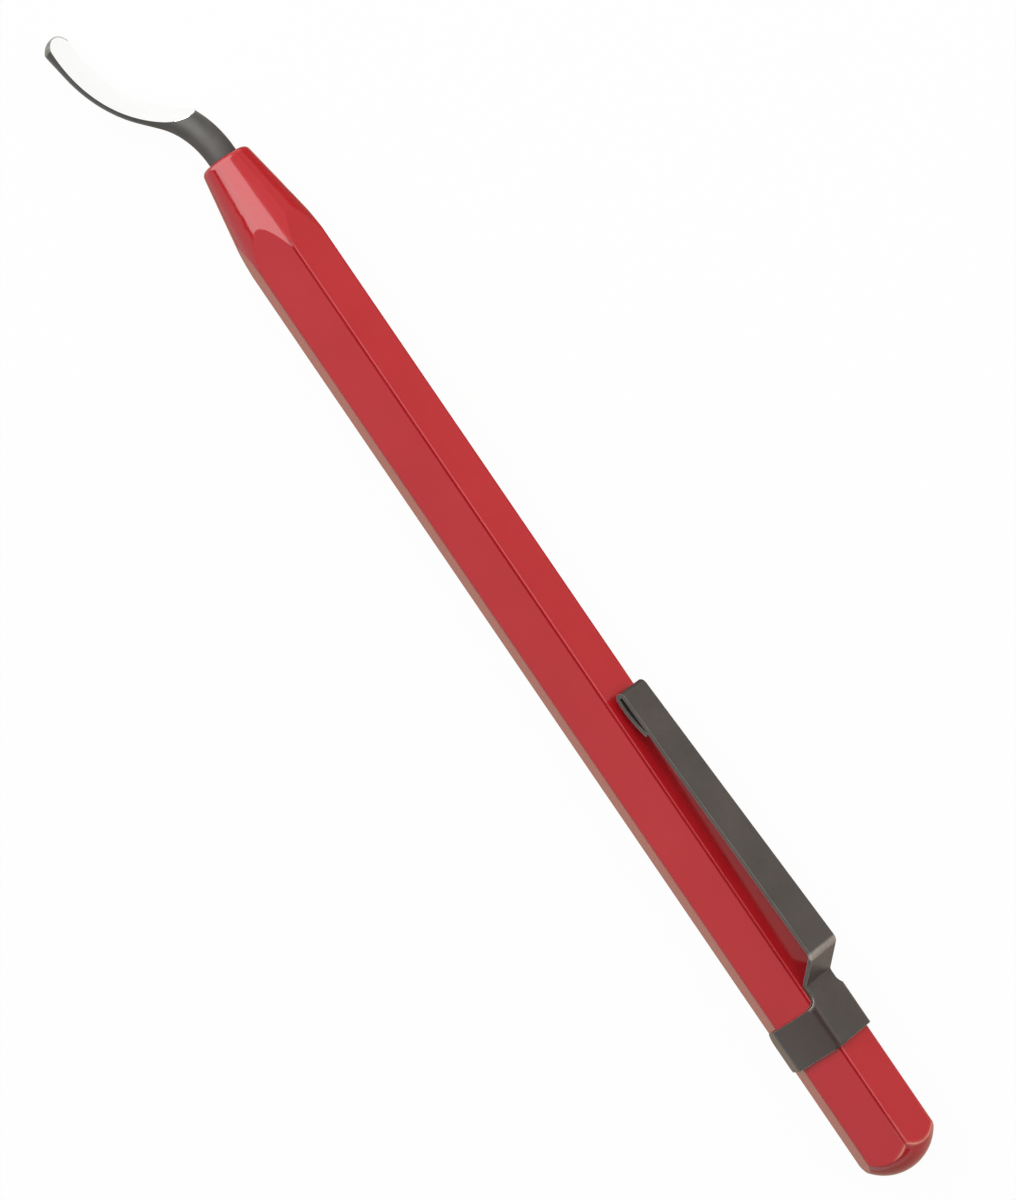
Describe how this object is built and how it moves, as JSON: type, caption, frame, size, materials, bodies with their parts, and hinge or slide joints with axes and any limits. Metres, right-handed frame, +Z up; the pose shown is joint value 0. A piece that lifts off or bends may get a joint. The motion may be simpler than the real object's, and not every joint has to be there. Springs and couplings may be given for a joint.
{
  "type": "deburring tool",
  "caption": "Pen-size hand deburring tool: painted hexagonal handle with a spring pocket clip and an S-shaped steel blade that swivels in the tapered nose.",
  "frame": {"origin": "bottom centre of the whole tool's box, on the surface it lies on", "axes": "+X along the handle to the blade, +Z up out of the wide upper flat, +Y to the side that the blade hooks to"},
  "size_m": [0.1452, 0.0186, 0.0103],
  "materials": {
    "paint_red": "semi-gloss red paint on a steel bar",
    "steel_bright": "fine turned",
    "steel_polished": "polished",
    "steel_blade": "hardened grey steel, its ground face bright",
    "steel_dark": "satin dark grey oxide on spring steel"
  },
  "bodies": {
    "handle": {"handle": "paint_red", "bearing_sleeve": "steel_bright", "retaining_ring": "steel_bright", "thrust_ball": "steel_polished"},
    "blade": {"blade": "steel_blade"},
    "clip": {"pocket_clip": "steel_dark"}
  },
  "joints": [
    {"name": "blade_swivel", "type": "hinge", "parent": "handle", "child": "blade", "pos_m": [0.05185, -0.00133, 0.00454], "axis": [1, 0, 0], "continuous": true},
    {"name": "clip_slide", "type": "slide", "parent": "handle", "child": "clip", "axis": [1, 0, 0], "range_m": [-0.01, 0.04]}
  ]
}
